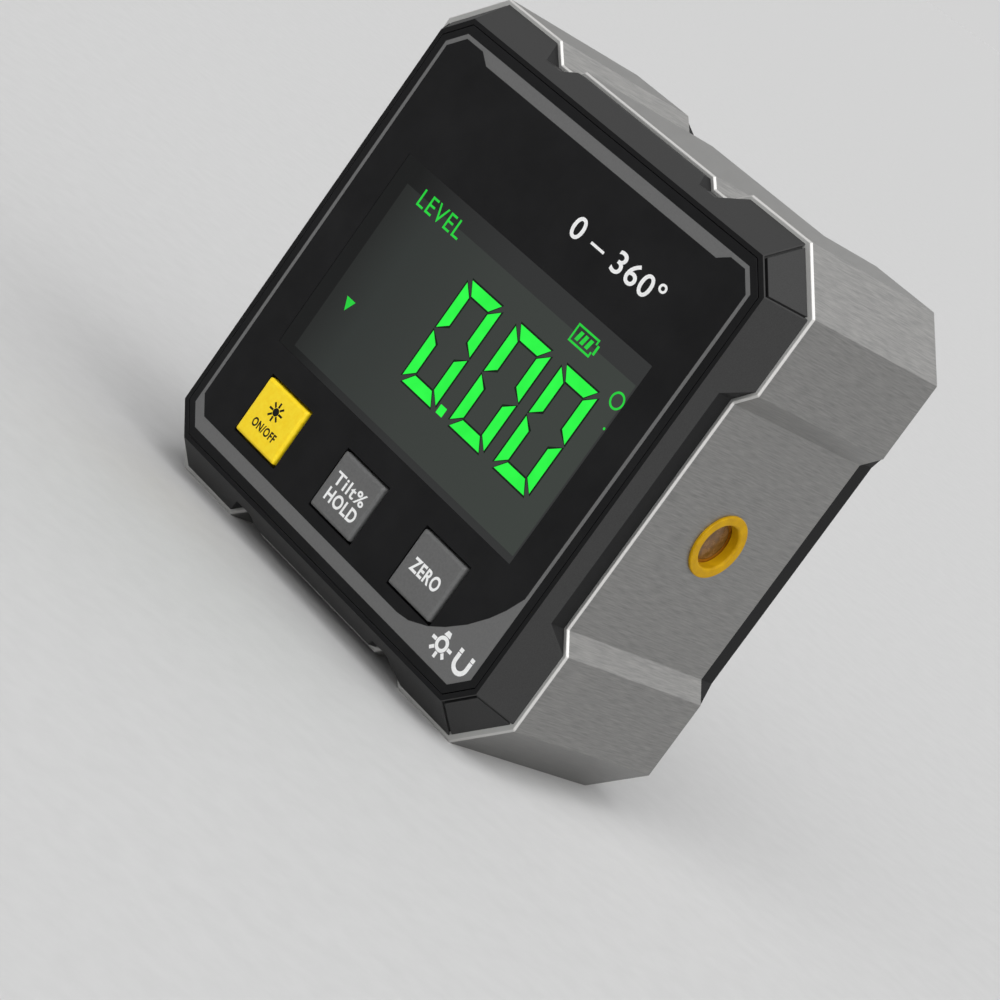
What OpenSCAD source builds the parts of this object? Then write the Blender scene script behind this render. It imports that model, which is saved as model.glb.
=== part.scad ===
// Digital angle gauge: a square level box with an extruded aluminium frame,
// a sloped front bezel with a display and three keys, a laser outlet in its
// right side, a magnetic base and a rear cover with a battery bay.
// The front looks along -Y, up is +Z, and the origin is under the middle of the base.

/* [Frame] */
// Width across the pads of the two sides
body_w = 60; // [58:0.5:70]
// Depth of the frame from its front edge to its back edge
frame_d = 24; // [23:0.5:30]
// Length of the cut across each outer corner, along each side
corner_cut = 5.5; // [4.5:0.25:6.5]
// Length of the pad at each end of a side
pad_len = 9; // [8:0.25:10.5]
// Depth of the recess between the pads
recess = 1.8; // [1.3:0.1:2.2]
// Length of the slope from a pad into the recess
recess_run = 2; // [1.5:0.1:2.8]
// Length of the land in the middle of the top and of the base
land_len = 21; // [16:0.5:22]
// Depth of that land below the pads
land_drop = 0.9; // [0.4:0.1:1.1]
// Length of the slope at each end of the land
land_run = 1; // [0.6:0.1:1.5]
// Wall left between a recess and the cavity
wall = 2.6; // [2.2:0.1:3]
// Cut across each corner of the cavity
cavity_cut = 3.5; // [2.5:0.25:3.75]
// Chamfer on the front and back edges
edge_cut = 0.2; // [0.15:0.05:0.35]

/* [Bezel and panel] */
// Height of the bezel in front of the frame
bezel_d = 3.7; // [3.4:0.1:4.5]
// Rim of the frame that shows outside the bezel and the rear cover
rim = 0.5; // [0.45:0.05:0.7]
// How far the bezel's slopes lean in on the way to the front
bezel_lean = 3; // [2.7:0.1:3.3]
// Cut across each corner of the bezel's flat front
front_cut = 3; // [2.5:0.1:3.8]
// Depth of the groove around the facet across each corner of the bezel
facet_depth = 0.35; // [0.2:0.05:0.5]
// Margin between that groove and the facet's edges
facet_margin = 0.15; // [0.1:0.05:0.3]
// Width of that groove
facet_groove = 0.25; // [0.15:0.05:0.35]
// Width of the flat strip around the panel
strip = 0.5; // [0.4:0.1:1]
// Thickness of the acrylic panel
panel_t = 0.9; // [0.8:0.1:1.1]
// Thickness of the bezel's front plate behind the panel
plate_t = 1.5; // [1.2:0.1:1.8]
// Length of the lips that locate the bezel and the rear cover in the frame
lip_len = 2; // [1.5:0.1:2.5]
// Thickness of those lips
lip_t = 1.4; // [1.2:0.1:1.6]
// Length of the posts that carry the circuit board
post_len = 4.3; // [4.1:0.1:5]

/* [Display] */
// Distance from the frame's side pads to the display window
window_side = 9.7; // [9.3:0.1:12]
// Distance between the display window and the row of keys
window_gap = 3.4; // [3:0.1:5]
// Margin of the display glass beyond its window, on each side
glass_margin = 1.5; // [1:0.1:1.6]
// Thickness of the display glass
glass_t = 2; // [1.6:0.1:2.2]
// Thickness of the contact strips above and below the backlight
zebra_t = 1.1; // [0.9:0.1:1.3]

/* [Keys] */
// Width of a key
key_w = 7; // [6.4:0.1:7.4]
// Height of a key
key_h = 6.6; // [6:0.1:6.8]
// Distance between the keys
key_pitch = 14; // [13.6:0.1:14.4]
// How far the row of keys sits to the left of the middle
key_shift = 0.65; // [0:0.05:0.8]
// Distance from the lower edge of the panel's pocket to the keys
key_base = 4.2; // [4:0.1:5]
// How far a key stands proud of the panel
key_proud = 0.4; // [0.35:0.05:0.7]
// Travel of a key
key_travel = 0.3; // [0.2:0.05:0.35]
// Gap around a key where it passes through the panel and the bezel
key_gap = 0.25; // [0.2:0.05:0.3]

/* [Laser] */
// Radius of the bush's flange
bush_r = 3.6; // [3.5:0.1:4.2]
// Radius of the outlet
outlet_r = 2.5; // [2.3:0.1:2.6]
// Radius of the laser's barrel
barrel_r = 2.75; // [2.65:0.05:2.9]
// Length of the laser's barrel
barrel_len = 13; // [10:0.5:15]

/* [Base magnets] */
// Radius of a magnet
magnet_r = 3.5; // [3:0.1:3.8]
// Thickness of a magnet
magnet_t = 2.4; // [2:0.1:2.8]

/* [Rear cover and battery bay] */
// Height of the rear cover behind the frame
cover_d = 3.6; // [3.4:0.1:4.5]
// Height of the rear cover's upright wall, before its slope
cover_wall = 0.5; // [0.3:0.1:0.8]
// How far the rear cover's slopes lean in
cover_lean = 2.7; // [2.4:0.1:3]
// Thickness of the rear cover's back plate and of the battery door
cover_t = 1.6; // [1.4:0.1:2]
// Diameter of a cell
cell_d = 10.2; // [9.8:0.1:10.4]
// Length of a cell, with its cap
cell_len = 44.4; // [43.5:0.1:50]
// Length of a contact spring between its plate and its cell
spring_len = 3.7; // [3:0.1:5]
// Thickness of a contact plate
contact_t = 0.4; // [0.3:0.05:0.6]
// Wall of the battery bay
bay_wall = 1; // [0.9:0.1:1.2]
// Gap between the battery door's opening and the screw heads beside it
bay_clear = 0.8; // [0.6:0.1:1.5]
// Gap around the battery door
door_gap = 0.25; // [0.2:0.05:0.35]

/* [Fasteners] */
// Distance of a cover screw from the two cavity walls next to it
screw_inset = 3.6; // [3.5:0.05:3.7]
// Radius of the bosses for the cover screws
boss_r = 2.4; // [2.2:0.05:2.45]
// Radius of a cover screw's shank
screw_r = 0.95; // [0.85:0.05:1]
// Radius of a cover screw's head
head_r = 1.9; // [1.7:0.05:2]
// Radius of a board screw's shank
board_screw_r = 0.75; // [0.65:0.05:0.8]

/* [Hidden] */
$fn = 48;

// Cutters run this far past the faces that they cut
over = 1;
// Clearance between pieces that are pushed or laid into one another
fit = 0.05;
// Clearance of the lips in the frame and of the panel in its pocket
loose = 0.15;

// The body is as high as an upright cell, its contacts and the walls round them
body_h = cell_len + spring_len + 2 * (contact_t + bay_wall + loose + wall + recess);

// Levels from the keys at the front to the battery door at the back
total_d = key_proud + bezel_d + frame_d + cover_d;
y_key = -total_d / 2;
y_panel = y_key + key_proud;
y_front = y_panel + bezel_d;
y_back = y_front + frame_d;
y_rear = y_back + cover_d;
y_mid = (y_front + y_back) / 2;
y_pocket = y_panel + panel_t;
y_plate = y_pocket + plate_t;
y_board = y_plate + post_len;
board_t = 1.6;
y_board_back = y_board + board_t;
y_glass = y_pocket + fit;
y_glass_back = y_glass + glass_t;
y_hollow = y_rear - cover_t;
z_mid = body_h / 2;

// Half sizes of the frame and its cavity, as [x, z]
half = [body_w / 2, body_h / 2];
cavity = half - [recess + wall, recess + wall];
lip = cavity - [loose, loose];
hollow = lip - [lip_t, lip_t];
hollow_cut = 6;
bezel_base = half - [rim, rim];
bezel_top = bezel_base - [bezel_lean, bezel_lean];
pocket = bezel_top - [strip, strip];
panel_cut = front_cut - 0.4 * strip;
panel = pocket - [loose, loose];
cover_top = bezel_base - [cover_lean, cover_lean];

// The row of keys stands on the pocket's lower edge, and the window on the keys
key_drop = pocket[1] - key_base - key_h / 2;
window_w = body_w - 2 * window_side;
window_h = 2 * (key_drop - key_h / 2 - window_gap);

// Display and board
glass = [window_w / 2 + glass_margin, window_h / 2 + glass_margin];
board = hollow + [0.4, 0.4];
board_cut = 9.2;
zebra_z = glass[1] - zebra_t;

// Components on the back of the board: place of the middle, then width, height and depth
chip_in = 15.5;
chip_at = [chip_in - board[0], 2];
chip_size = [7, 7, 1];
sensor_at = [4, -6];
sensor_size = [4, 4, 1.2];
buzzer_in = [9.5, 13.5];
buzzer_at = board - buzzer_in;
buzzer_r = 4.6;
buzzer_h = 3.2;
buzzer_hole_r = 0.9;

// Keys, their flanges and switches
key_x = [for (i = [-1:1]) i * key_pitch - key_shift];
flange_t = 0.7;
flange_gap = 0.4;
flange_lap = 0.8;
y_flange = y_plate + flange_gap;
y_flange_back = y_flange + flange_t;
y_switch = y_flange_back + key_travel + 0.1;
switch_w = 5.2;
plunger_r = 1;
plunger_reach = 0.8;

// Laser: distances from the recessed face on the right
x_recess = half[0] - recess;
bush_proud = 0.3;
outlet_len = 0.9;
bush_edge = 0.12;
mouth = 0.2;
socket_len = 4.4;
x_barrel = x_recess - outlet_len;
x_bush_back = x_barrel - socket_len;
bush_shank_r = barrel_r + fit + 0.5;
lens_t = 1;
lens_r = barrel_r - 0.65;
tail_len = 3;

// Base magnets, in the middle of each pad
magnet_x = half[0] - corner_cut - pad_len / 2;
magnet_y = frame_d / 4;
magnet_sunk = 0.1;

// Battery bay: cells stand upright, side by side, between contact plates
cell_r = cell_d / 2;
cell_gap = 0.2;
bay_half = [cell_d + 1.5 * cell_gap, lip[1] - bay_wall];
door_lap = 0.8;
cell_x = cell_r + cell_gap / 2;
y_cell = y_hollow - cell_gap - cell_r;
y_bay = y_cell - cell_r - cell_gap;
contact_w = cell_d - 1.2;
wire_r = 0.3;
rib_t = 0.8;
rib_len = 9;
rib_h = 1.4;
grip_pitch = 2;
grip_r = 0.5;
grip_w = 12;
grip_top = 5;

// Fasteners
screw_at = cavity - [screw_inset, screw_inset];
head_gap = 0.2;
bay_x = head_r + head_gap + bay_clear + bay_half[0] + door_lap - screw_at[0];
y_boss_join = y_mid + 1.6;
head_h = 1.3;
head_sunk = 0.4;
y_head = y_rear - head_sunk - head_h;
screw_len = 18;
post_r = 1.8;
post_z = (glass[1] + hollow[1]) / 2 + 0.2;
post_at = [[-key_pitch, post_z], [key_pitch, post_z],
    for (i = [0, 1]) [(key_x[i] + key_x[i + 1]) / 2, -key_drop]];
board_head_h = 0.9;
board_head_r = 1.5;

// Rectangle with its corners cut, from its half sizes
function cut_rect(h, c) = [
    [-h[0] + c, h[1]], [-h[0], h[1] - c], [-h[0], -h[1] + c], [-h[0] + c, -h[1]],
    [h[0] - c, -h[1]], [h[0], -h[1] + c], [h[0], h[1] - c], [h[0] - c, h[1]]];

// Outline of the frame, moved in by t all round: four pads, plain recesses on
// the two sides, and recesses with a land between two notches on top and base
function outline(t) =
    let (h = half - [t, t],
        c = corner_cut - t * (2 - sqrt(2)),
        slope_shift = t * tan(atan2(recess, recess_run) / 2),
        land_shift = t * tan(atan2(recess - land_drop, land_run) / 2),
        pad_end = half - [1, 1] * (corner_cut + pad_len) + [slope_shift, slope_shift],
        floor_end = pad_end - [recess_run, recess_run],
        land_end = land_len / 2 - land_shift,
        notch_end = land_end + land_run,
        top = [[h[0] - c, h[1]], [pad_end[0], h[1]], [floor_end[0], h[1] - recess],
            [notch_end, h[1] - recess], [land_end, h[1] - land_drop]],
        side = [[h[0], pad_end[1]], [h[0], h[1] - c]],
        side_floor = [h[0] - recess, floor_end[1]],
        right_up = concat([side_floor], side, top))
    concat(right_up,
        [for (i = [len(right_up) - 1:-1:0]) [-right_up[i][0], right_up[i][1]]],
        [for (p = right_up) [-p[0], -p[1]]],
        [for (i = [len(right_up) - 1:-1:0]) [right_up[i][0], -right_up[i][1]]]);

// Outline of the cavity, with a point for each point of the frame's outline
function cavity_outline() =
    let (flat = cavity - [cavity_cut, cavity_cut])
    [for (p = outline(0)) abs(p[0]) / half[0] > abs(p[1]) / half[1]
        ? [sign(p[0]) * cavity[0], max(-flat[1], min(flat[1], p[1]))]
        : [max(-flat[0], min(flat[0], p[0])), sign(p[1]) * cavity[1]]];

// Sweep a flat shape, drawn in x and z about the body's middle, from y0 to y1
module slab(y0, y1) {
    translate([0, y1, z_mid]) rotate([90, 0, 0]) linear_extrude(y1 - y0) children();
}

// Join outlines of equal length, each given as [y, points], into one solid.
// A closed loft joins its last outline to its first, which leaves a hole.
module loft(rings, closed = false) {
    n = len(rings[0][1]);
    count = len(rings);
    last = count - 1;
    points = [for (ring = rings) for (p = ring[1]) [p[0], ring[0], p[1] + z_mid]];
    sides = [for (i = [0:closed ? last : last - 1]) for (j = [0:n - 1])
        let (next = (i + 1) % count, k = (j + 1) % n)
        [i * n + j, i * n + k, next * n + k, next * n + j]];
    front = [for (j = [n - 1:-1:0]) j];
    back = [for (j = [0:n - 1]) last * n + j];
    polyhedron(points, closed ? sides : concat(sides, [front, back]), convexity = 6);
}

module rect(w, h) { square([w, h], center = true); }

// Round bar along Y, at x and z from the body's middle
module bar_y(x, z, r, y0, y1) {
    translate([x, y1, z_mid + z]) rotate([90, 0, 0]) cylinder(r = r, h = y1 - y0);
}

// Round bar along X on the laser's axis
module bar_x(r, x0, x1) {
    translate([x0, y_mid, z_mid]) rotate([0, 90, 0]) cylinder(r = r, h = x1 - x0);
}

// Four mirrored places, from one at [x, z]
function corners(at) = [for (sx = [-1, 1]) for (sz = [-1, 1]) [sx * at[0], sz * at[1]]];

module frame() {
    color([0.66, 0.66, 0.67]) difference() {
        loft([[y_front, outline(edge_cut)], [y_front + edge_cut, outline(0)],
            [y_back - edge_cut, outline(0)], [y_back, outline(edge_cut)],
            [y_back, cavity_outline()], [y_front, cavity_outline()]], closed = true);
        bar_x(bush_shank_r + fit, cavity[0] - over, half[0] + over);
        for (x = [-magnet_x, magnet_x]) for (y = [-magnet_y, magnet_y])
            translate([x, y_mid + y, -over])
                cylinder(r = magnet_r + fit, h = over + magnet_sunk + magnet_t + fit);
    }
}

// Repeat what is drawn in the upper right corner in the other three
module in_each_corner() {
    for (mx = [0, 1]) for (mz = [0, 1])
        translate([0, 0, mz * body_h]) mirror([0, 0, mz]) mirror([mx, 0, 0]) children();
}

// Block on the facet across the bezel's upper right corner, at a margin from the
// facet's edges: it reaches deep into the bezel and stands proud of the facet
module corner_block(margin, deep, proud, u_low) {
    along = [1, -1] / sqrt(2);
    out = [1, 1] / sqrt(2);
    function ring(u) =
        let (h = bezel_top + (bezel_base - bezel_top) * u,
            c = front_cut + (corner_cut - front_cut) * u,
            upper = [h[0] - c, h[1]] + margin * along,
            lower = [h[0], h[1] - c] - margin * along)
        [upper - deep * out, lower - deep * out, lower + proud * out, upper + proud * out];
    u_high = margin / bezel_d;
    loft([[y_panel + u_high * bezel_d, ring(u_high)], [y_panel + u_low * bezel_d, ring(u_low)]]);
}

// Groove along three edges of that facet, open towards the frame
module corner_groove() {
    difference() {
        corner_block(facet_margin, facet_depth, over, 1.02);
        corner_block(facet_margin + facet_groove, facet_depth + over, 2 * over, 1.05);
    }
}

module front_bezel() {
    color([0.09, 0.09, 0.09]) {
        difference() {
            union() {
                intersection() {
                    slab(y_panel, y_front) polygon(outline(rim));
                    loft([[y_panel, cut_rect(bezel_top, front_cut)],
                        [y_front, cut_rect(bezel_base, corner_cut)]]);
                }
                slab(y_front - over, y_front + lip_len) polygon(cut_rect(lip, cavity_cut));
            }
            in_each_corner() corner_groove();
            slab(y_panel - over, y_pocket) polygon(cut_rect(pocket, panel_cut));
            slab(y_plate, y_front + lip_len + over) polygon(cut_rect(hollow, hollow_cut));
            slab(y_panel - over, y_plate + over) rect(2 * (glass[0] + loose), 2 * (glass[1] + loose));
            slab(y_panel - over, y_plate + over)
                for (x = key_x) translate([x, -key_drop]) rect(key_w + 2 * key_gap, key_h + 2 * key_gap);
        }
        for (at = corners(screw_at)) difference() {
            bar_y(at[0], at[1], boss_r, y_plate, y_boss_join - fit);
            bar_y(at[0], at[1], screw_r + fit, y_head - screw_len - over, y_boss_join + over);
        }
        for (at = post_at) difference() {
            bar_y(at[0], at[1], post_r, y_plate, y_board);
            bar_y(at[0], at[1], board_screw_r + fit, y_plate + fit, y_board + over);
        }
    }
}

module front_panel() {
    color([0.05, 0.05, 0.05]) slab(y_panel, y_pocket) difference() {
        polygon(cut_rect(panel, panel_cut));
        for (x = key_x) translate([x, -key_drop]) rect(key_w + 2 * key_gap, key_h + 2 * key_gap);
    }
}

module display_glass() {
    color([0.24, 0.26, 0.25]) slab(y_glass, y_glass_back) rect(2 * glass[0], 2 * glass[1]);
}

module backlight() {
    color([0.92, 0.93, 0.9]) slab(y_glass_back + fit, y_board - fit)
        rect(2 * glass[0], 2 * (zebra_z - loose));
}

module contact_strips() {
    color([0.85, 0.6, 0.65]) slab(y_glass_back + fit, y_board - fit)
        for (s = [-1, 1]) translate([0, s * (zebra_z + zebra_t / 2)]) rect(2 * glass[0] - 2, zebra_t);
}

module main_board() {
    color([0.1, 0.36, 0.2]) difference() {
        slab(y_board, y_board_back) polygon(cut_rect(board, board_cut));
        for (at = post_at) bar_y(at[0], at[1], board_screw_r + 0.2, y_board - over, y_board_back + over);
    }
}

// Component on the back of the board
module chip(at, size) {
    slab(y_board_back, y_board_back + size[2]) translate(at) rect(size[0], size[1]);
}

module controller_chip() { color([0.12, 0.12, 0.13]) chip(chip_at, chip_size); }

module angle_sensor() { color([0.2, 0.2, 0.22]) chip(sensor_at, sensor_size); }

module buzzer() {
    color([0.15, 0.15, 0.16]) difference() {
        bar_y(buzzer_at[0], buzzer_at[1], buzzer_r, y_board_back, y_board_back + buzzer_h);
        bar_y(buzzer_at[0], buzzer_at[1], buzzer_hole_r, y_board_back + buzzer_h / 2,
            y_board_back + buzzer_h + over);
    }
}

module switch_bodies() {
    color([0.2, 0.2, 0.2]) for (x = key_x) difference() {
        slab(y_switch, y_board) translate([x, -key_drop]) rect(switch_w, switch_w);
        bar_y(x, -key_drop, plunger_r + 0.2, y_switch - over,
            y_switch + plunger_reach + key_travel + 0.2);
    }
}

module plunger(x) {
    color([0.85, 0.83, 0.78]) bar_y(x, -key_drop, plunger_r, y_flange_back, y_switch + plunger_reach);
}

module power_plunger() { plunger(key_x[0]); }

module hold_plunger() { plunger(key_x[1]); }

module zero_plunger() { plunger(key_x[2]); }

// Key with a chamfered face, a body through the bezel and a flange behind it
module key(x) {
    chamfer = 0.25;
    corner = 0.12;
    face = [key_w / 2, key_h / 2];
    function at(h) = [for (p = cut_rect(h, corner)) p + [x, -key_drop]];
    loft([[y_key, at(face - [chamfer, chamfer])], [y_key + chamfer, at(face)], [y_flange + fit, at(face)]]);
    slab(y_flange, y_flange_back) translate([x, -key_drop])
        rect(key_w + 2 * flange_lap, key_h + 2 * flange_lap);
}

module power_button() { color([0.98, 0.8, 0.1]) key(key_x[0]); }

module hold_button() { color([0.42, 0.42, 0.42]) key(key_x[1]); }

module zero_button() { color([0.42, 0.42, 0.42]) key(key_x[2]); }

// Turned bush: its flange lies on the recessed face, its shank fills the hole and
// its bore is a socket for the barrel behind the outlet's shoulder
module laser_bush() {
    face = x_recess + bush_proud;
    color([0.82, 0.6, 0.06]) translate([0, y_mid, z_mid]) rotate([0, 90, 0]) rotate_extrude() polygon([
        [outlet_r + mouth, face], [outlet_r, face - mouth], [outlet_r, x_barrel],
        [barrel_r + fit, x_barrel], [barrel_r + fit, x_bush_back], [bush_shank_r, x_bush_back],
        [bush_shank_r, x_recess], [bush_r, x_recess], [bush_r, face - bush_edge], [bush_r - bush_edge, face]]);
}

module laser_barrel() {
    color([0.72, 0.56, 0.28]) difference() {
        union() {
            bar_x(barrel_r, x_barrel - barrel_len + tail_len, x_barrel - fit);
            bar_x(barrel_r - 0.8, x_barrel - barrel_len, x_barrel - fit);
        }
        bar_x(lens_r + fit, x_barrel - lens_t - fit, x_barrel + over);
        bar_x(lens_r - 0.8, x_barrel - barrel_len + tail_len + lens_t, x_barrel + over);
    }
}

module laser_lens() {
    color([0.5, 0.33, 0.14]) bar_x(lens_r, x_barrel - lens_t, x_barrel - fit);
}

module base_magnets() {
    color([0.75, 0.75, 0.76]) for (x = [-magnet_x, magnet_x]) for (y = [-magnet_y, magnet_y])
        translate([x, y_mid + y, magnet_sunk]) cylinder(r = magnet_r, h = magnet_t);
}

module rear_cover() {
    bay_out = bay_half + [bay_wall, bay_wall];
    door_hole = bay_half + [door_lap, door_lap];
    color([0.1, 0.1, 0.1]) {
        difference() {
            union() {
                difference() {
                    union() {
                        intersection() {
                            slab(y_back, y_rear) polygon(outline(rim));
                            loft([[y_back, cut_rect(bezel_base, corner_cut)],
                                [y_back + cover_wall, cut_rect(bezel_base, corner_cut)],
                                [y_rear, cut_rect(cover_top, front_cut)]]);
                        }
                        slab(y_back - lip_len, y_back + over) polygon(cut_rect(lip, cavity_cut));
                    }
                    slab(y_back - lip_len - over, y_hollow) polygon(cut_rect(hollow, hollow_cut));
                }
                slab(y_bay - bay_wall, y_hollow) translate([bay_x, 0]) rect(2 * bay_out[0], 2 * bay_out[1]);
                for (at = corners(screw_at)) bar_y(at[0], at[1], boss_r, y_boss_join + fit, y_hollow + fit);
            }
            slab(y_bay, y_rear + over) translate([bay_x, 0]) rect(2 * bay_half[0], 2 * bay_half[1]);
            slab(y_hollow, y_rear + over) translate([bay_x, 0]) rect(2 * door_hole[0], 2 * door_hole[1]);
            for (at = corners(screw_at)) {
                bar_y(at[0], at[1], screw_r + 0.25, y_boss_join - over, y_rear + over);
                bar_y(at[0], at[1], head_r + head_gap, y_head, y_rear + over);
            }
        }
    }
}

module battery_door() {
    door = bay_half + [door_lap - door_gap, door_lap - door_gap];
    color([0.1, 0.1, 0.1]) difference() {
        union() {
            slab(y_hollow + 0.1, y_rear) translate([bay_x, 0]) polygon(cut_rect(door, 0.6));
            for (sx = [-1, 1]) for (z = [-bay_half[1] / 2, bay_half[1] / 2])
                slab(y_hollow - rib_h, y_hollow + 0.3)
                    translate([bay_x + sx * (bay_half[0] - door_gap - rib_t / 2), z]) rect(rib_t, rib_len);
        }
        for (i = [0:3])
            translate([bay_x - grip_w / 2, y_rear + 0.2 * grip_r, z_mid + door[1] - grip_top - i * grip_pitch])
                rotate([0, 90, 0]) cylinder(r = grip_r, h = grip_w);
    }
}

// Dry cell that stands upright, its cap up (side 1) or down (side -1)
module cell(x, side) {
    cap_r = 1.9;
    cap_h = 1;
    z_low = -bay_half[1] + contact_t + (side > 0 ? spring_len : 0);
    translate([bay_x + x, y_cell, z_mid + z_low + (side > 0 ? 0 : cell_len)]) mirror([0, 0, side > 0 ? 0 : 1])
        rotate_extrude() polygon([[0, 0], [cell_r - 0.4, 0], [cell_r, 0.4], [cell_r, cell_len - cap_h - 0.4],
            [cell_r - 0.4, cell_len - cap_h], [cap_r, cell_len - cap_h], [cap_r, cell_len], [0, cell_len]]);
}

module left_cell() { color([0.2, 0.22, 0.25]) cell(-cell_x, 1); }

module right_cell() { color([0.2, 0.22, 0.25]) cell(cell_x, -1); }

module contact_plates() {
    color([0.78, 0.76, 0.7]) for (x = [-cell_x, cell_x]) for (s = [-1, 1])
        translate([bay_x + x - contact_w / 2, y_bay + fit, z_mid + s * (bay_half[1] - contact_t / 2) - contact_t / 2])
            cube([contact_w, 2 * cell_r - 1, contact_t - fit]);
}

// Conical contact spring that rises from z = 0 to its free end
module contact_spring() {
    turns = 3.5;
    steps = 44;
    ring = 6;
    r_low = 3.4;
    r_high = 2;
    rise = spring_len - 2 * wire_r - 2 * fit;
    function centre(i) = let (u = i / steps, r = r_low + (r_high - r_low) * u, a = 360 * turns * u)
        [r * cos(a), r * sin(a), wire_r + fit + rise * u];
    points = [for (i = [0:steps]) for (k = [0:ring - 1])
        let (c = centre(i), a = 360 * turns * i / steps, b = 360 * k / ring)
        c + wire_r * [cos(b) * cos(a), cos(b) * sin(a), sin(b)]];
    sides = [for (i = [0:steps - 1]) for (k = [0:ring - 1])
        [i * ring + k, i * ring + (k + 1) % ring, (i + 1) * ring + (k + 1) % ring, (i + 1) * ring + k]];
    start = [[for (k = [ring - 1:-1:0]) k]];
    end = [[for (k = [0:ring - 1]) steps * ring + k]];
    polyhedron(points, concat(sides, start, end), convexity = 8);
}

module contact_springs() {
    z_plate = bay_half[1] - contact_t;
    color([0.78, 0.76, 0.7]) {
        translate([bay_x - cell_x, y_cell, z_mid - z_plate]) contact_spring();
        translate([bay_x + cell_x, y_cell, z_mid + z_plate]) mirror([0, 0, 1]) contact_spring();
    }
}

// Pan-head screw along Y: its head lies behind y, its shank runs forward
module screw(at, y, r, length, r_head, h_head) {
    difference() {
        union() {
            bar_y(at[0], at[1], r_head, y, y + h_head);
            bar_y(at[0], at[1], r, y - length, y + fit);
        }
        slab(y + h_head / 2, y + h_head + over) translate(at) {
            rect(1.4 * r_head, 0.3 * r_head);
            rect(0.3 * r_head, 1.4 * r_head);
        }
    }
}

module cover_screws() {
    color([0.3, 0.3, 0.31]) for (at = corners(screw_at)) screw(at, y_head, screw_r, screw_len, head_r, head_h);
}

module board_screws() {
    color([0.6, 0.6, 0.61]) for (at = post_at)
        screw(at, y_board_back, board_screw_r, board_t + post_len - 0.6, board_head_r, board_head_h);
}

frame();
front_bezel();
front_panel();
display_glass();
backlight();
contact_strips();
main_board();
controller_chip();
angle_sensor();
buzzer();
switch_bodies();
power_plunger();
hold_plunger();
zero_plunger();
power_button();
hold_button();
zero_button();
laser_bush();
laser_barrel();
laser_lens();
base_magnets();
rear_cover();
battery_door();
left_cell();
right_cell();
contact_plates();
contact_springs();
cover_screws();
board_screws();
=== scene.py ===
import math

import bmesh
import bpy
from mathutils import Matrix, Vector


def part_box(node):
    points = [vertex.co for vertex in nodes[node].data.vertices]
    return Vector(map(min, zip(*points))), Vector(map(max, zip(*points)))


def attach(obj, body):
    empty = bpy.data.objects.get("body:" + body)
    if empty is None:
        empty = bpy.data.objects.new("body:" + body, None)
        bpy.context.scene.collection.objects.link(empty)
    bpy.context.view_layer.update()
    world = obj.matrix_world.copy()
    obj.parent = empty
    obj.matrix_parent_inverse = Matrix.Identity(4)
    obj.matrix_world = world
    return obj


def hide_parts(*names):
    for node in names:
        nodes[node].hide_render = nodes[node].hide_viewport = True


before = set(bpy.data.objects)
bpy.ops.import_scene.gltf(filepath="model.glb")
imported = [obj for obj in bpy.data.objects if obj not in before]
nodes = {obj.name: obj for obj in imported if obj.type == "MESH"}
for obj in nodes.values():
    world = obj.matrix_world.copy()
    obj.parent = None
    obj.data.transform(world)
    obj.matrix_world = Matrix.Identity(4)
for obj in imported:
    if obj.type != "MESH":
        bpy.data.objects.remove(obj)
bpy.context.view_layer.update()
MM = 0.001

# Frame: one length of aluminium extrusion, sawn, milled along its pads and recesses,
# brushed along its depth and anodised grey. Its front and back edges were chamfered
# last, so they are bare bright metal. It clamps between the bezel and the rear cover.
FRAME_EDGE = 0.06
FRAME_DARK = "#838382"
FRAME_PALE = "#9e9d9b"
CUT_EDGE = "#cecdcb"
RIM_GREY = "#bcbcba"
CUT_ROUGHNESS = 0.6
BRUSH_WIDTH = 0.15
BRUSH_LENGTH = 2.4
BLACK = "#000000"
WHITE = "#ffffff"
EDGE_FACING = 0.3
FLAT_FACING = 0.9


def linear(hex_colour):
    parts = [int(hex_colour[i : i + 2], 16) / 255 for i in (1, 3, 5)]
    return [c / 12.92 if c <= 0.04045 else ((c + 0.055) / 1.055) ** 2.4 for c in parts] + [1.0]


def add_node(tree, kind, sockets, **settings):
    made = tree.nodes.new(kind)
    for name, value in settings.items():
        setattr(made, name, value)
    for name, value in sockets.items():
        if isinstance(value, bpy.types.NodeSocket):
            tree.links.new(value, made.inputs[name])
        else:
            made.inputs[name].default_value = value
    return made


def new_material(name, **sockets):
    material = bpy.data.materials.new(name)
    material.use_nodes = True
    shader = material.node_tree.nodes["Principled BSDF"]
    for socket, value in sockets.items():
        shader.inputs[socket.replace("_", " ")].default_value = value
    return material, material.node_tree, shader


def add_ramp(tree, value, stops, interpolation="LINEAR"):
    ramp = add_node(tree, "ShaderNodeValToRGB", {"Fac": value})
    ramp.color_ramp.interpolation = interpolation
    elements = ramp.color_ramp.elements
    for element, (position, colour) in zip(elements, (stops[0], stops[-1])):
        element.position = position
        element.color = linear(colour)
    for position, colour in stops[1:-1]:
        elements.new(position).color = linear(colour)
    return ramp.outputs["Color"]


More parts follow.
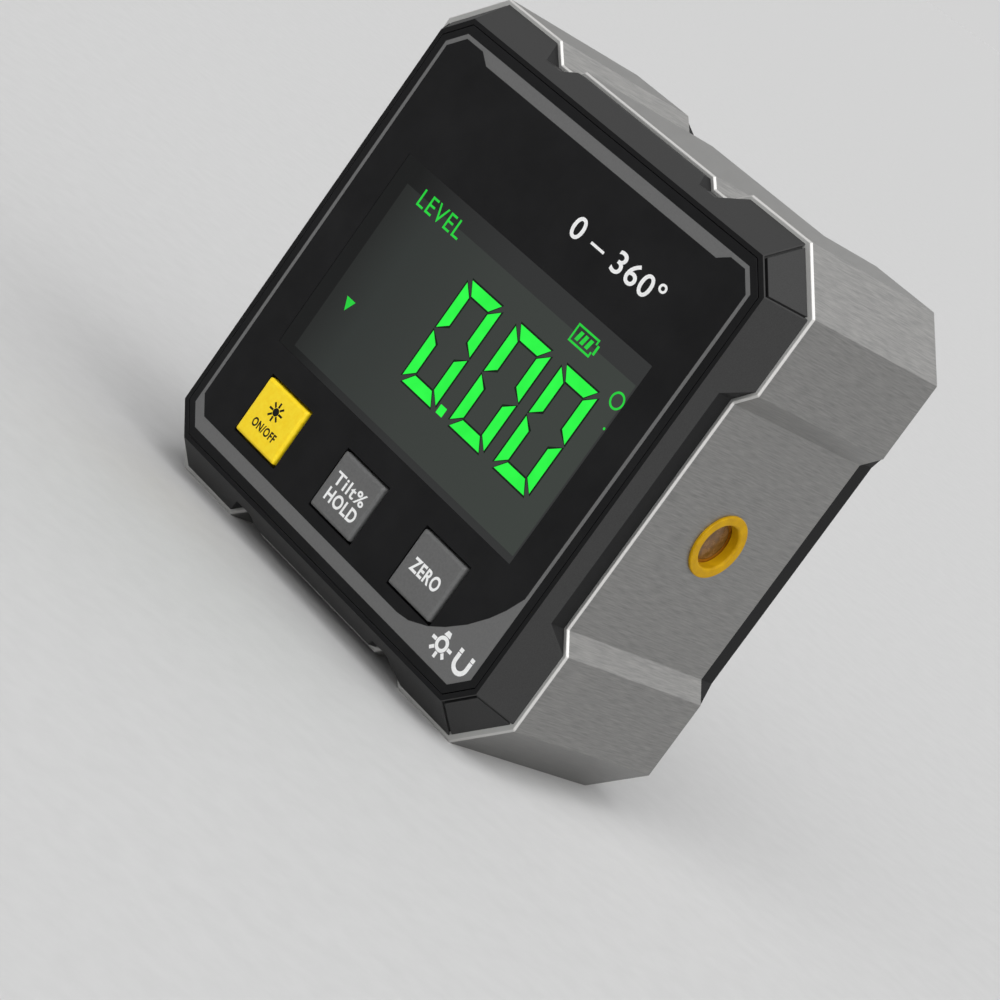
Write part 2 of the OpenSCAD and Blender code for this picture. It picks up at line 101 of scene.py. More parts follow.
def grained(name, dark, pale, grain, roughness, relief, **sockets):
    material, tree, shader = new_material(name, **sockets)
    place = add_node(tree, "ShaderNodeTexCoord", {})
    scale = [1 / (size * MM) for size in grain]
    spread = add_node(tree, "ShaderNodeMapping", {"Vector": place.outputs["Object"], "Scale": scale})
    noise = add_node(
        tree,
        "ShaderNodeTexNoise",
        {"Vector": spread.outputs["Vector"], "Scale": 1.0, "Detail": 3.0, "Roughness": 0.6},
    )
    tint = add_ramp(tree, noise.outputs["Fac"], [(0.3, dark), (0.7, pale)])
    tree.links.new(tint, shader.inputs["Base Color"])
    low, high = roughness
    gloss = add_node(
        tree,
        "ShaderNodeMapRange",
        {"Value": noise.outputs["Fac"], "From Min": 0.3, "From Max": 0.7, "To Min": low, "To Max": high},
    )
    tree.links.new(gloss.outputs["Result"], shader.inputs["Roughness"])
    bump = add_node(
        tree,
        "ShaderNodeBump",
        {"Height": noise.outputs["Fac"], "Strength": 0.3, "Distance": relief * MM},
    )
    tree.links.new(bump.outputs["Normal"], shader.inputs["Normal"])
    return material, tree, shader, tint, gloss.outputs["Result"]


def depthwise_facing(tree):
    geometry = add_node(tree, "ShaderNodeNewGeometry", {})
    facing = add_node(tree, "ShaderNodeSeparateXYZ", {"Vector": geometry.outputs["True Normal"]})
    return add_node(tree, "ShaderNodeMath", {0: facing.outputs["Y"]}, operation="ABSOLUTE").outputs["Value"]


def rounded_copy(node, edge, sharpest=25, segments=2):
    bm = bmesh.new()
    bm.from_mesh(nodes[node].data)
    bmesh.ops.remove_doubles(bm, verts=bm.verts, dist=1e-6)
    bmesh.ops.dissolve_limit(bm, angle_limit=math.radians(0.5), verts=bm.verts, edges=bm.edges)
    limit = math.radians(sharpest)
    sharp = [e for e in bm.edges if len(e.link_faces) == 2 and e.calc_face_angle() > limit]
    bmesh.ops.bevel(
        bm,
        geom=sharp,
        offset=edge * MM,
        affect="EDGES",
        segments=segments,
        profile=0.5,
        material=-1,
        clamp_overlap=True,
    )
    return bm


def finished(bm, name, material, body, replaced=()):
    mesh = bpy.data.meshes.new(name)
    bm.to_mesh(mesh)
    bm.free()
    for polygon in mesh.polygons:
        polygon.use_smooth = False
    mesh.materials.append(material)
    piece = bpy.data.objects.new(name, mesh)
    bpy.context.scene.collection.objects.link(piece)
    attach(piece, body)
    if replaced:
        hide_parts(*replaced)


# Brushed, then anodised: dull grey with short streaks along the depth. The real streaks
# are finer and wouldn't show. Where a face looks forwards or back it was cut bare.
brushed_anodised, tree, shader, skin, sheen = grained(
    "brushed_anodised_aluminium",
    dark=FRAME_DARK,
    pale=FRAME_PALE,
    grain=(BRUSH_WIDTH, BRUSH_LENGTH, BRUSH_WIDTH),
    roughness=(0.36, 0.52),
    relief=0.01,
    Metallic=1.0,
)
facing = depthwise_facing(tree)
cut = add_ramp(tree, facing, [(0.0, BLACK), (EDGE_FACING, WHITE)], "CONSTANT")
bare = add_ramp(tree, facing, [(0.0, CUT_EDGE), (FLAT_FACING, RIM_GREY)], "CONSTANT")
colour = add_node(tree, "ShaderNodeMix", {0: cut, 6: skin, 7: bare}, data_type="RGBA")
tree.links.new(colour.outputs[2], shader.inputs["Base Color"])
dullness = add_node(tree, "ShaderNodeMix", {0: cut, 2: sheen, 3: CUT_ROUGHNESS})
tree.links.new(dullness.outputs[0], shader.inputs["Roughness"])
extrusion = rounded_copy("frame", FRAME_EDGE)
finished(extrusion, "frame_extrusion", brushed_anodised, "body", ["frame"])

# Base magnets: four discs of sintered magnet, nickel plated, pressed into blind holes
# in the base pads.


def dressed(material, *names):
    for name in names:
        for held in nodes[name].material_slots:
            held.material = material


# Plated nickel: smooth, warm grey and mirror-like, with slight clouds.
nickel = grained(
    "nickel_plate",
    dark="#b6b4af",
    pale="#d0cec9",
    grain=(1.5, 1.5, 1.5),
    roughness=(0.18, 0.3),
    relief=0.004,
    Metallic=1.0,
)[0]
dressed(nickel, "base_magnets")

# Laser outlet: a bush of amber acetal, turned, its flange on the recessed face and its
# shank in the frame's hole. A brass barrel with an amber lens is pushed in from behind.


def front_of(node):
    return min(v.co.y for v in nodes[node].data.vertices) / MM


BUSH_RADIUS = 3.6
BUSH_PROUD = 0.3
BUSH_ROUND = 0.14
OUTLET_RADIUS = 2.5
OUTLET_DEPTH = 0.9
OUTLET_ROUND = 0.3
SOCKET_RADIUS = 2.8
SHANK_RADIUS = 3.3
SHANK_LENGTH = 5.3
RECESSED_FACE = 28.2
AXIS_DEPTH = front_of("laser_bush") + BUSH_RADIUS
AXIS_HEIGHT = 30.0


def quarter(centre_r, centre_x, radius, first, steps=5):
    turns = [math.radians(first + 90 * i / steps) for i in range(steps + 1)]
    return [(centre_r + radius * math.cos(a), centre_x + radius * math.sin(a)) for a in turns]


def turned(profile, steps=96):
    bm = bmesh.new()
    axis = Vector((0, AXIS_DEPTH * MM, AXIS_HEIGHT * MM))
    ring = [bm.verts.new((x * MM, axis.y, axis.z + r * MM)) for r, x in profile]
    edges = [bm.edges.new((ring[i - 1], ring[i])) for i in range(len(ring))]
    bmesh.ops.spin(
        bm,
        geom=ring + edges,
        cent=axis,
        axis=(1, 0, 0),
        angle=2 * math.pi,
        steps=steps,
        use_merge=True,
        use_duplicate=False,
    )
    bmesh.ops.remove_doubles(bm, verts=bm.verts, dist=1e-7)
    bmesh.ops.recalc_face_normals(bm, faces=bm.faces)
    return bm


bush_face = RECESSED_FACE + BUSH_PROUD
bush_back = RECESSED_FACE - SHANK_LENGTH
outlet_floor = RECESSED_FACE - OUTLET_DEPTH
bush_profile = quarter(BUSH_RADIUS - BUSH_ROUND, bush_face - BUSH_ROUND, BUSH_ROUND, 0)
bush_profile += quarter(OUTLET_RADIUS + OUTLET_ROUND, bush_face - OUTLET_ROUND, OUTLET_ROUND, 90)
bush_profile += [
    (OUTLET_RADIUS, outlet_floor),
    (SOCKET_RADIUS, outlet_floor),
    (SOCKET_RADIUS, bush_back),
    (SHANK_RADIUS, bush_back),
    (SHANK_RADIUS, RECESSED_FACE),
    (BUSH_RADIUS, RECESSED_FACE),
]
# Acetal: waxy and slightly clouded, so its gloss is weak.
amber = grained(
    "amber_acetal",
    dark="#af8503",
    pale="#c19606",
    grain=(1.2, 1.2, 1.2),
    roughness=(0.4, 0.55),
    relief=0.01,
    IOR=1.48,
    Specular_IOR_Level=0.15,
)[0]
finished(turned(bush_profile), "outlet_ring", amber, "body", ["laser_bush"])
# Turned brass: yellow metal with fine rings round its axis.
brass = grained(
    "turned_brass",
    dark="#b58a41",
    pale="#d8b064",
    grain=(0.2, 4.0, 4.0),
    roughness=(0.25, 0.4),
    relief=0.005,
    Metallic=1.0,
)[0]
dressed(brass, "laser_barrel")
# Amber glass: a dark brown shine with lighter clouds.
lens = grained(
    "amber_lens",
    dark="#4e3410",
    pale="#7f5a30",
    grain=(0.9, 0.9, 0.9),
    roughness=(0.1, 0.35),
    relief=0.02,
    IOR=1.5,
)[0]
dressed(lens, "laser_lens")

# Front bezel: black ABS, injection moulded. Its slopes have a matt spark finish and its
# flat strip and inner walls are polished. These polished faces are painted a darker black,
# partly for the polish and partly as painted shade. It meets the frame's rim, each corner
# has a grooved facet, and its pocket takes the panel.
BEZEL_EDGE = 0.03
ABS_POLISHED_AND_SHADE = "#0f0f10"
ABS_DARK = "#303030"
ABS_PALE = "#393939"
# Moulded ABS: black and softly shiny, with the grain of a spark-eroded mould.
moulded_abs, tree, shader, spark = grained(
    "moulded_black_abs",
    dark=ABS_DARK,
    pale=ABS_PALE,
    grain=(0.12, 0.12, 0.12),
    roughness=(0.42, 0.55),
    relief=0.01,
    IOR=1.5,
    Specular_IOR_Level=0.16,
)[:4]
facing = depthwise_facing(tree)
# The flat strip and the walls get a darker black: partly the polish, partly painted shade.
polished_and_shaded_faces = [(0.0, BLACK), (EDGE_FACING, WHITE), (FLAT_FACING, BLACK)]
matt_unshaded = add_ramp(tree, facing, polished_and_shaded_faces, "CONSTANT")
finish_and_shade = {0: matt_unshaded, 6: linear(ABS_POLISHED_AND_SHADE), 7: spark}
colour = add_node(tree, "ShaderNodeMix", finish_and_shade, data_type="RGBA")
tree.links.new(colour.outputs[2], shader.inputs["Base Color"])
bezel = rounded_copy("front_bezel", BEZEL_EDGE)
finished(bezel, "bezel_moulding", moulded_abs, "body", ["front_bezel"])

# Display: a liquid crystal glass bonded under the panel's window, with its figures lit
# green from behind. Its grey polariser and field are painted light: they glow a dark grey,
# brighter towards the right, in place of the light that falls on them. It has a white
# light guide, and two rubber strips connect it to the board.
PANEL_FACE = front_of("front_panel")
DISPLAY_DEPTH = 0.06
DISPLAY_FACE = PANEL_FACE + DISPLAY_DEPTH
LAYER = 0.01
EDGE_STEP = 0.0004
WINDOW = (-20.3, 20.6, -12.0, 11.65)
FIELD = (-18.2, 20.35, -11.2, 9.2)
BORDER_PAINTED_LIGHT = [(0.08, "#141515"), (0.27, "#282929"), (0.52, "#2f3030"), (0.97, "#313232")]
FIELD_PAINTED_LIGHT = [(0.08, "#252726"), (0.2, "#303432"), (0.5, "#383c39"), (0.96, "#3b403c")]
LIT_GREEN = [(0.3, "#27f244"), (0.7, "#2eff4b")]
LIT_FAINT = [(0.3, "#22c93b"), (0.7, "#27d940")]
SEGMENT_DARK = [(0.3, "#08170a"), (0.7, "#0b1e0e")]
STROKE = 1.3
SEGMENT_GAP = 0.16
DIGIT_LEFT = (-4.11, 4.17, 11.75)
DIGIT_WIDTH = 5.8
DIGIT_LOW = -6.11
DIGIT_HIGH = 6.25
CORNER_INSET = 0.25
SIDE_INSET = 0.35
SHOULDER = 0.1
WAIST_OUT = 0.22
WAIST_IN = 1.2
EDGE_GROW = 0.2
POINT = (2.18, 3.18, -6.11, -5.11)
DEGREE_AT = (19.62, 6.91)
DEGREE_RADII = (0.93, 0.7)
DOT_AT = (20.3, 4.06)
DOT_RADIUS = 0.14
LEVEL_BOX = (-15.67, -8.48, 8.15, 10.05)
LEVEL_MARK = [(-16.12, -3.58), (-14.67, -3.58), (-15.37, -4.93)]
BATTERY_LINES = [
    (10.4, 13.75, 8.15, 8.37),
    (10.4, 13.75, 9.98, 10.2),
    (10.4, 10.62, 8.39, 9.96),
    (13.53, 13.75, 8.39, 8.75),
    (13.53, 13.75, 9.6, 9.96),
    (13.85, 14.15, 8.65, 9.7),
]
BATTERY_BARS = (11.0, 11.78, 12.56)
BAR_LOW = 8.65
BAR_HIGH = 9.7
BAR_WIDTH = 0.48
BAR_LEAN = 0.2
CENTRE_HEIGHT = 30.0


def glowing(name, stops, grain, brighter_rightward=False):
    material, tree, shader = new_material(name, Roughness=0.18, IOR=1.49, Specular_IOR_Level=0.12)
    shader.inputs["Base Color"].default_value = linear("#040404")
    place = add_node(tree, "ShaderNodeTexCoord", {})
    noise = add_node(
        tree,
        "ShaderNodeTexNoise",
        {"Vector": place.outputs["Object"], "Scale": 1 / (grain * MM), "Detail": 2.0},
    )
    level = noise.outputs["Fac"]
    # Painted light: here the sheet's glow grows brighter towards the right.
    if brighter_rightward:
        across = add_node(tree, "ShaderNodeSeparateXYZ", {"Vector": place.outputs["Object"]})
        span = {"From Min": WINDOW[0] * MM, "From Max": WINDOW[1] * MM}
        rightward = add_node(tree, "ShaderNodeMapRange", {"Value": across.outputs["X"], **span})
        painted_rightward_light = {0: level, 1: 0.04, 2: rightward.outputs["Result"]}
        level = add_node(tree, "ShaderNodeMath", painted_rightward_light, operation="MULTIPLY_ADD").outputs["Value"]
    glow = add_ramp(tree, level, stops)
    tree.links.new(glow, shader.inputs["Emission Color"])
    shader.inputs["Emission Strength"].default_value = 1.0
    return material


def thickened(bm, thickness):
    swept = bmesh.ops.extrude_face_region(bm, geom=bm.faces[:])
    moved = [v for v in swept["geom"] if isinstance(v, bmesh.types.BMVert)]
    bmesh.ops.translate(bm, verts=moved, vec=(0, -thickness * MM, 0))
    bmesh.ops.recalc_face_normals(bm, faces=bm.faces)
    return bm


def flat_sheet(loops, face, thickness):
    bm = bmesh.new()
    edges = []
    for loop in loops:
        ring = [bm.verts.new((x * MM, face * MM, (CENTRE_HEIGHT + z) * MM)) for x, z in loop]
        edges += [bm.edges.new((ring[i - 1], ring[i])) for i in range(len(ring))]
    bmesh.ops.triangle_fill(bm, edges=edges, use_beauty=True, use_dissolve=True)
    return thickened(bm, thickness)


def box_loop(x0, x1, z0, z1):
    return [(x0, z0), (x1, z0), (x1, z1), (x0, z1)]


def round_loop(x, z, radius, steps=40):
    turns = [2 * math.pi * i / steps for i in range(steps)]
    return [(x + radius * math.cos(a), z + radius * math.sin(a)) for a in turns]


def stroke_loop(x0, z0, x1, z1, width):
    along = Vector((x1 - x0, z1 - z0)).normalized() * width / 2
    side = Vector((-along.y, along.x))
    start = Vector((x0, z0))
    end = Vector((x1, z1))
    return [tuple(p) for p in (start + side, start - side, end - side, end + side)]


def zero_figure(left, grow):
    right = left + DIGIT_WIDTH
    low = DIGIT_LOW
    high = DIGIT_HIGH
    middle = (low + high) / 2
    gap = SEGMENT_GAP - grow
    out = grow
    inner = STROKE + grow
    loops = []
    for z_out, z_in, sign in ((high + out, high - inner, 1), (low - out, low + inner, -1)):
        loops.append(
            [
                (left + gap + CORNER_INSET, z_out),
                (right - gap - CORNER_INSET, z_out),
                (right - gap - inner, z_in),
                (left + gap + inner, z_in),
            ]
        )
        for x_out, x_in in ((left - out, left + inner), (right + out, right - inner)):
            loops.append(
                [
                    (x_out, z_out - sign * (gap + out + SIDE_INSET)),
                    (x_in, z_in - sign * (gap + SHOULDER)),
                    (x_in, middle + sign * (WAIST_IN - grow)),
                    (x_out, middle + sign * (WAIST_OUT - grow)),
                ]
            )
    return loops


def printed_word(word, box, face, thickness, bold=0.03):
    letters = bpy.data.curves.new("letters", "FONT")
    letters.body = word
    letters.offset = bold
    letters.space_character = 1.1
    letters.resolution_u = 5
    holder = bpy.data.objects.new("letters", letters)
    bpy.context.scene.collection.objects.link(holder)
    bpy.context.view_layer.update()
    mesh = bpy.data.meshes.new_from_object(holder.evaluated_get(bpy.context.evaluated_depsgraph_get()))
    bpy.data.objects.remove(holder)
    bpy.data.curves.remove(letters)
    bm = bmesh.new()
    bm.from_mesh(mesh)
    bpy.data.meshes.remove(mesh)
    bmesh.ops.remove_doubles(bm, verts=bm.verts, dist=1e-5)
    x0, x1, z0, z1 = box
    across = [v.co.x for v in bm.verts]
    upward = [v.co.y for v in bm.verts]
    wide = (x1 - x0) / (max(across) - min(across)) * MM
    tall = (z1 - z0) / (max(upward) - min(upward)) * MM
    bmesh.ops.translate(bm, verts=bm.verts, vec=(-min(across), -min(upward), 0))
    bmesh.ops.scale(bm, verts=bm.verts, vec=(wide, tall, 1))
    bmesh.ops.rotate(bm, verts=bm.verts, cent=(0, 0, 0), matrix=Matrix.Rotation(math.pi / 2, 3, "X"))
    bmesh.ops.translate(bm, verts=bm.verts, vec=(x0 * MM, face * MM, (CENTRE_HEIGHT + z0) * MM))
    return thickened(bm, thickness)


# Polariser and liquid crystal: painted light, a dark grey glow in place of the light that
# falls on them, brighter towards the right, under a smooth gloss.
border = glowing("display_polariser", BORDER_PAINTED_LIGHT, 9.0, True)
dressed(border, "display_glass")
polariser = flat_sheet([box_loop(*WINDOW)], DISPLAY_FACE, LAYER)
finished(polariser, "display_polariser", border, "body")
field = glowing("display_field", FIELD_PAINTED_LIGHT, 12.0, True)
field_sheet = flat_sheet([box_loop(*FIELD)], DISPLAY_FACE - LAYER, LAYER)
finished(field_sheet, "display_field", field, "body")
segment_edge = glowing("segment_edge", SEGMENT_DARK, 1.0)
segment_green = glowing("segment_green", LIT_GREEN, 2.5)
faint_green = glowing("faint_green", LIT_FAINT, 0.6)
edge_face = DISPLAY_FACE - 2 * LAYER
lit_face = edge_face - 2 * LAYER
outlines = []
figures = []
for left in DIGIT_LEFT:
    outlines += zero_figure(left, EDGE_GROW)
    figures += zero_figure(left, 0.0)
figures.append(box_loop(*POINT))
# The outlines cross at their corners, so each sheet is a hair thicker than the last.
for number, loop in enumerate(outlines):
    finished(
        flat_sheet([loop], edge_face, LAYER + number * EDGE_STEP),
        f"segment_edge_{number}",
        segment_edge,
        "body",
    )
finished(flat_sheet(figures, lit_face, LAYER), "lit_figures", segment_green, "body")
battery = [box_loop(*line) for line in BATTERY_LINES]
for bar in BATTERY_BARS:
    foot = [(bar, BAR_LOW), (bar + BAR_WIDTH, BAR_LOW)]
    head = [(bar + BAR_WIDTH + BAR_LEAN, BAR_HIGH), (bar + BAR_LEAN, BAR_HIGH)]
    battery.append(foot + head)
small_signs = battery + [
    LEVEL_MARK,
    round_loop(*DOT_AT, DOT_RADIUS),
]
small_signs += [round_loop(*DEGREE_AT, radius) for radius in DEGREE_RADII]
finished(flat_sheet(small_signs, lit_face, LAYER), "lit_signs", faint_green, "body")
level_word = printed_word("LEVEL", LEVEL_BOX, lit_face, LAYER, bold=0.0)
finished(level_word, "lit_word", faint_green, "body")

# Frosted acrylic and layered rubber: milky white, and pink with fine stripes.
guide = grained(
    "light_guide_acrylic",
    dark="#dcdad2",
    pale="#f0eee6",
    grain=(2.0, 2.0, 2.0),
    roughness=(0.5, 0.7),
    relief=0.02,
)[0]
dressed(guide, "backlight")
strip_rubber = grained(
    "layered_rubber",
    dark="#b67c86",
    pale="#d39aa4",
    grain=(0.05, 0.3, 0.3),
    roughness=(0.6, 0.8),
    relief=0.02,
)[0]
dressed(strip_rubber, "contact_strips")

# Panel: acrylic, cut to its octagon and screen printed: black, with a grey line round it
# that widens at top and bottom, the range in numbers, two white signs, and a window over
# the display. It is stuck into the bezel's pocket.
PANEL_THICK = 0.9
PANEL_HALF = 25.93
PANEL_CUT = 2.8
PANEL_ROUND = 0.06
RIM_CLEAR = 0.1
FACE_WITHIN = 0.001
KEY_CENTRES = (-14.65, -0.65, 13.35)
KEY_HEIGHT = -18.5
KEY_HOLE = (7.5, 7.1)
PRINT_GREY = "#6a6a6a"
PRINT_WHITE = "#f6f6f6"
PRINT_THICK = 0.02
SIGN_THICK = 0.01
RANGE_BOX = (2.6, 16.8, 15.95, 18.45)
RANGE_BOLD = 0.012


def octagon(half_x, half_z, cut):
    return [
        (half_x - cut, half_z),
        (-half_x + cut, half_z),
        (-half_x, half_z - cut),
        (-half_x, -half_z + cut),
        (-half_x + cut, -half_z),
        (half_x - cut, -half_z),
        (half_x, -half_z + cut),
        (half_x, half_z - cut),
    ]


def on_front_rim(place):
    beside = not WINDOW[0] - RIM_CLEAR < place.x / MM < WINDOW[1] + RIM_CLEAR
    beyond = abs(place.z / MM - CENTRE_HEIGHT) > WINDOW[3] + RIM_CLEAR
    return place.y / MM < PANEL_FACE + FACE_WITHIN and (beside or beyond)


panel_loops = [octagon(PANEL_HALF, PANEL_HALF, PANEL_CUT), box_loop(*WINDOW)]
for centre in KEY_CENTRES:
    half_w = KEY_HOLE[0] / 2
    half_h = KEY_HOLE[1] / 2
    panel_loops.append(box_loop(centre - half_w, centre + half_w, KEY_HEIGHT - half_h, KEY_HEIGHT + half_h))
# Acrylic printed black from behind: deep black under a smooth, weak gloss.
printed_black = grained(
    "black_printed_acrylic",
    dark="#131314",
    pale="#1a1a1b",
    grain=(6.0, 6.0, 6.0),
    roughness=(0.16, 0.22),
    relief=0.002,
    IOR=1.49,
    Specular_IOR_Level=0.12,
)[0]
panel = flat_sheet(panel_loops, PANEL_FACE + PANEL_THICK, PANEL_THICK)
rims = [
    edge
    for edge in panel.edges
    if edge.calc_face_angle(0) > 1 and all(on_front_rim(vert.co) for vert in edge.verts)
]
bmesh.ops.bevel(
    panel,
    geom=rims,
    offset=PANEL_ROUND * MM,
    affect="EDGES",
    segments=2,
    profile=0.5,
    material=-1,
)
finished(panel, "panel_sheet", printed_black, "body", ["front_panel"])

outer_line = octagon(25.0, 24.9, 2.0)
inner_line = [
    (22.75, 24.45),
    (20.6, 24.45),
    (19.2, 23.5),
    (-18.5, 23.5),
    (-20.0, 24.45),
    (-22.75, 24.45),
    (-24.6, 22.6),
    (-24.6, -21.6),
    (-22.8, -23.4),
    (12.8, -23.4),
    (14.6, -23.15),
    (17.0, -22.15),
    (18.8, -20.95),
    (20.8, -19.2),
    (22.5, -17.2),
    (23.6, -15.5),
    (24.6, -13.4),
    (24.6, 22.6),
]
# Screen print: even ink with a fine tooth, slightly matt.
grey_print = grained(
    "grey_screen_print",
    dark="#646464",
    pale=PRINT_GREY,
    grain=(0.25, 0.25, 0.25),
    roughness=(0.35, 0.5),
    relief=0.004,
    Specular_IOR_Level=0.2,
)[0]
finished(
    flat_sheet([outer_line, inner_line], PANEL_FACE, PRINT_THICK),
    "grey_print",
    grey_print,
    "body",
)

white_print = grained(
    "white_screen_print",
    dark="#ebebeb",
    pale=PRINT_WHITE,
    grain=(0.2, 0.2, 0.2),
    roughness=(0.4, 0.55),
    relief=0.004,
)[0]
LAMP_AT = (19.68, -22.41)
LAMP_RADII = (0.86, 0.46)
LAMP_RAY = (0.92, 1.55)
LAMP_RAY_WIDTH = 0.38
lamp_sign = [round_loop(*LAMP_AT, radius) for radius in LAMP_RADII]
lamp_rays = [[(19.2, -21.5), (20.15, -21.5), (19.95, -20.95), (19.4, -20.95)]]
for angle in (180, 225, 270, 315, 0):
    ray = Vector((math.cos(math.radians(angle)), math.sin(math.radians(angle))))
    near = Vector(LAMP_AT) + ray * LAMP_RAY[0]
    far = Vector(LAMP_AT) + ray * LAMP_RAY[1]
    lamp_rays.append(stroke_loop(*near, *far, LAMP_RAY_WIDTH))
MAGNET_AT = (22.99, -22.5)
MAGNET_OUTER = 1.15
MAGNET_INNER = 0.65
MAGNET_LEG = -21.72
MAGNET_TIP = (-21.64, -21.2)
arc = [math.radians(180 + 180 * i / 14) for i in range(15)]


def arc_points(radius, turns):
    return [(MAGNET_AT[0] + radius * math.cos(a), MAGNET_AT[1] + radius * math.sin(a)) for a in turns]


magnet_out = arc_points(MAGNET_OUTER, arc)
magnet_in = arc_points(MAGNET_INNER, arc[::-1])
magnet = [(magnet_out[0][0], MAGNET_LEG)] + magnet_out
magnet += [(magnet_out[-1][0], MAGNET_LEG), (magnet_in[0][0], MAGNET_LEG)]
magnet += magnet_in + [(magnet_in[-1][0], MAGNET_LEG)]
tips = [
    box_loop(MAGNET_AT[0] - MAGNET_OUTER, MAGNET_AT[0] - MAGNET_INNER, *MAGNET_TIP),
    box_loop(MAGNET_AT[0] + MAGNET_INNER, MAGNET_AT[0] + MAGNET_OUTER, *MAGNET_TIP),
]
sign_face = PANEL_FACE - PRINT_THICK
title = printed_word("0 \u2013 360\u00b0", RANGE_BOX, PANEL_FACE, PRINT_THICK, RANGE_BOLD)
finished(title, "panel_title", white_print, "body")
finished(
    flat_sheet(lamp_sign + lamp_rays, sign_face, SIGN_THICK),
    "lamp_sign",
    white_print,
    "body",
)
finished(
    flat_sheet([magnet] + tips, sign_face, SIGN_THICK),
    "magnet_sign",
    white_print,
    "body",
)

# Keys: moulded ABS caps, yellow for power and grey for the others, with chamfered faces
# and their legends pad printed. Each passes through the panel and presses on a switch.
KEY_FACE = front_of("power_button")
KEY_ROUND = 0.1
LEGEND_THICK = 0.01
TILT_BOLD = 0.018
HOLD_BOX = (-3.0, 2.05, -20.39, -18.89)
TILT_BOX = (-3.2, 1.9, -18.5, -17.06)
ZERO_BOX = (11.13, 15.63, -19.31, -17.76)
POWER_BOX = (-16.62, -12.62, -20.26, -19.26)
# Coloured ABS: softly shiny, with a fine moulded grain.
key_yellow = grained(
    "yellow_abs",
    dark="#fcd614",
    pale="#ffe02a",
    grain=(0.5, 0.5, 0.5),
    roughness=(0.34, 0.46),
    relief=0.008,
    IOR=1.5,
    Specular_IOR_Level=0.3,
)[0]
key_grey = grained(
    "grey_abs",
    dark="#5e5e5e",
    pale="#676767",
    grain=(0.3, 0.3, 0.3),
    roughness=(0.36, 0.48),
    relief=0.008,
    IOR=1.5,
    Specular_IOR_Level=0.3,
)[0]
finished(
    rounded_copy("power_button", KEY_ROUND),
    "power_cap",
    key_yellow,
    "power_key",
    ["power_button"],
)
finished(
    rounded_copy("hold_button", KEY_ROUND),
    "hold_cap",
    key_grey,
    "hold_key",
    ["hold_button"],
)
finished(
    rounded_copy("zero_button", KEY_ROUND),
    "zero_cap",
    key_grey,
    "zero_key",
    ["zero_button"],
)
# Pad print: thin black ink, matt.
black_print = grained(
    "black_pad_print",
    dark="#0a0a09",
    pale="#141310",
    grain=(0.2, 0.2, 0.2),
    roughness=(0.4, 0.55),
    relief=0.004,
    Specular_IOR_Level=0.15,
)[0]
tilt_word = printed_word("Tilt%", TILT_BOX, KEY_FACE, LEGEND_THICK, TILT_BOLD)
finished(tilt_word, "tilt_legend", white_print, "hold_key")
hold_word = printed_word("HOLD", HOLD_BOX, KEY_FACE, LEGEND_THICK)
finished(hold_word, "hold_legend", white_print, "hold_key")
zero_word = printed_word("ZERO", ZERO_BOX, KEY_FACE, LEGEND_THICK)
finished(zero_word, "zero_legend", white_print, "zero_key")
power_word = printed_word("ON/OFF", POWER_BOX, KEY_FACE, LEGEND_THICK)
finished(power_word, "power_legend", black_print, "power_key")
BURST_AT = (-14.65, -17.54)
BURST_CORE = 0.45
BURST_RAY = (0.5, 1.1)
BURST_RAY_WIDTH = 0.24
burst = [round_loop(*BURST_AT, BURST_CORE, 24)]
for step in range(8):
    ray = Vector((math.cos(math.radians(45 * step)), math.sin(math.radians(45 * step))))
    near = Vector(BURST_AT) + ray * BURST_RAY[0]
    far = Vector(BURST_AT) + ray * BURST_RAY[1]
    burst.append(stroke_loop(*near, *far, BURST_RAY_WIDTH))
finished(
    flat_sheet(burst, KEY_FACE, LEGEND_THICK),
    "laser_sign",
    black_print,
    "power_key",
)

# Board: fibreglass laminate under green solder mask, screwed to the bezel's posts, with
# moulded resin chips, a buzzer and three push switches soldered to it.
# Solder mask is glossy green, moulded resin matt black, and natural acetal ivory.
laminate = grained(
    "solder_mask",
    dark="#124a2f",
    pale="#1c6240",
    grain=(0.4, 0.4, 0.4),
    roughness=(0.25, 0.38),
    relief=0.01,
)[0]
dressed(laminate, "main_board")
resin = grained(
    "moulded_resin",
    dark="#1c1c1e",
    pale="#29292b",
    grain=(0.15, 0.15, 0.15),
    roughness=(0.5, 0.7),
    relief=0.02,
)[0]
dressed(resin, "controller_chip", "angle_sensor", "buzzer", "switch_bodies")
acetal = grained(
    "natural_acetal",
    dark="#d6d2c4",
    pale="#e6e3d6",
    grain=(0.6, 0.6, 0.6),
    roughness=(0.4, 0.55),
    relief=0.01,
)[0]
dressed(acetal, "power_plunger", "hold_plunger", "zero_plunger")

# Rear cover and battery door: the same black ABS as the bezel. Four screws pull the
# cover and the bezel together through the frame, and the door lifts off the bay.
COVER_EDGE = 0.12
finished(
    rounded_copy("rear_cover", COVER_EDGE),
    "rear_moulding",
    moulded_abs,
    "body",
    ["rear_cover"],
)
finished(
    rounded_copy("battery_door", COVER_EDGE),
    "door_moulding",
    moulded_abs,
    "door",
    ["battery_door"],
)
# Zinc plate: grey metal, slightly clouded.
zinc = grained(
    "zinc_plated_steel",
    dark="#7c7c80",
    pale="#9a9a9d",
    grain=(0.5, 0.5, 0.5),
    roughness=(0.3, 0.45),
    relief=0.006,
    Metallic=1.0,
)[0]
dressed(zinc, "cover_screws", "board_screws")

# Cells: two dry cells side by side, head to tail, in plain grey foil sleeves with a dark
# band at the positive end, between sprung steel contacts.
BAND_DARK = "#2c2f33"
BAND_SHARE = 0.12


